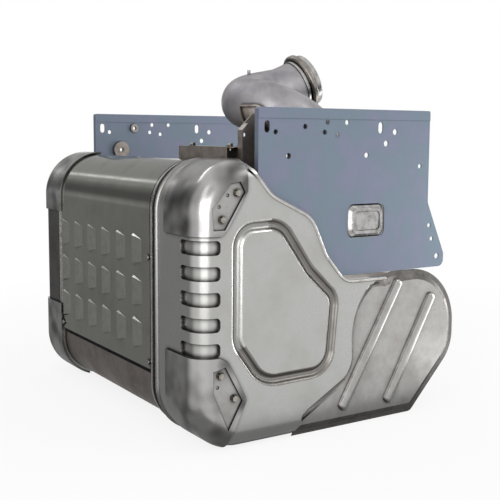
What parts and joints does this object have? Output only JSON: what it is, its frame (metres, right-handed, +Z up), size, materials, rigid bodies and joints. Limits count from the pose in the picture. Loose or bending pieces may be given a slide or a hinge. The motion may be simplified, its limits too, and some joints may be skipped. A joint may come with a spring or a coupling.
{
  "type": "diesel exhaust aftertreatment box",
  "caption": "Box-shaped exhaust aftertreatment unit with pressed end caps, a slotted heat shield, two hanging plates and a swan-neck inlet pipe",
  "frame": {"origin": "middle of the footprint, on the surface the box stands on", "axes": "+X across the end face towards the round lobe, +Y from the near end cap to the far one, +Z up"},
  "size_m": [0.8095, 0.978, 0.9361],
  "materials": {
    "pressed_steel": "satin pressed ferritic stainless",
    "lobe_steel": "satin, lightly stained",
    "bright_steel": "polished, smudged",
    "bolt_steel": "plain machined",
    "wrap_steel": "dull rolled, heat tinted",
    "shield_steel": "polished rolled sheet",
    "plate_steel": "zinc-flake coated, semi-matte",
    "pad_steel": "bright pressed",
    "bracket_steel": "weathered, brown heat tint",
    "pipe_steel": "satin, faint violet heat tint",
    "collar_steel": "dark worn",
    "inner_steel": "dull",
    "catalyst_ceramic": "coated cordierite honeycomb",
    "filter_ceramic": "wall-flow honeycomb",
    "mat_fibre": "ceramic fibre mat"
  },
  "bodies": {
    "root": {"near_end_cap": "pressed_steel", "far_end_cap": "pressed_steel", "near_lobe_cover": "lobe_steel", "far_lobe_cover": "lobe_steel", "near_upper_corner_cap": "bright_steel", "near_lower_corner_cap": "bright_steel", "far_upper_corner_cap": "bright_steel", "far_lower_corner_cap": "bright_steel", "near_corner_bolts": "bolt_steel", "far_corner_bolts": "bolt_steel", "body_shell": "wrap_steel", "near_rim_band": "wrap_steel", "far_rim_band": "wrap_steel", "side_shield": "shield_steel", "insulation_mat": "mat_fibre", "shield_screws": "bolt_steel", "near_mounting_plate": "plate_steel", "far_mounting_plate": "plate_steel", "near_plate_pad": "pad_steel", "far_plate_pad": "pad_steel", "near_plate_bosses": "bracket_steel", "far_plate_bosses": "bracket_steel", "inlet_pipe": "pipe_steel", "inlet_flange": "bright_steel", "inlet_collar": "collar_steel", "pipe_support": "bracket_steel", "top_bracket": "bracket_steel", "bracket_bolts": "bolt_steel", "outlet_pipe": "pipe_steel", "outlet_flange": "bright_steel", "near_inner_end": "inner_steel", "far_inner_end": "inner_steel", "near_bulkhead": "inner_steel", "far_bulkhead": "inner_steel", "near_divider": "inner_steel", "far_divider": "inner_steel", "mixing_duct": "inner_steel", "filter_can": "inner_steel", "oxidation_catalyst": "catalyst_ceramic", "particulate_filter": "filter_ceramic", "filter_mats": "mat_fibre", "mixing_pipe": "inner_steel", "lower_scr_can": "inner_steel", "lower_scr_catalyst": "catalyst_ceramic", "lower_scr_mat": "mat_fibre", "upper_scr_can": "inner_steel", "upper_scr_catalyst": "catalyst_ceramic", "upper_scr_mat": "mat_fibre"}
  },
  "joints": []
}
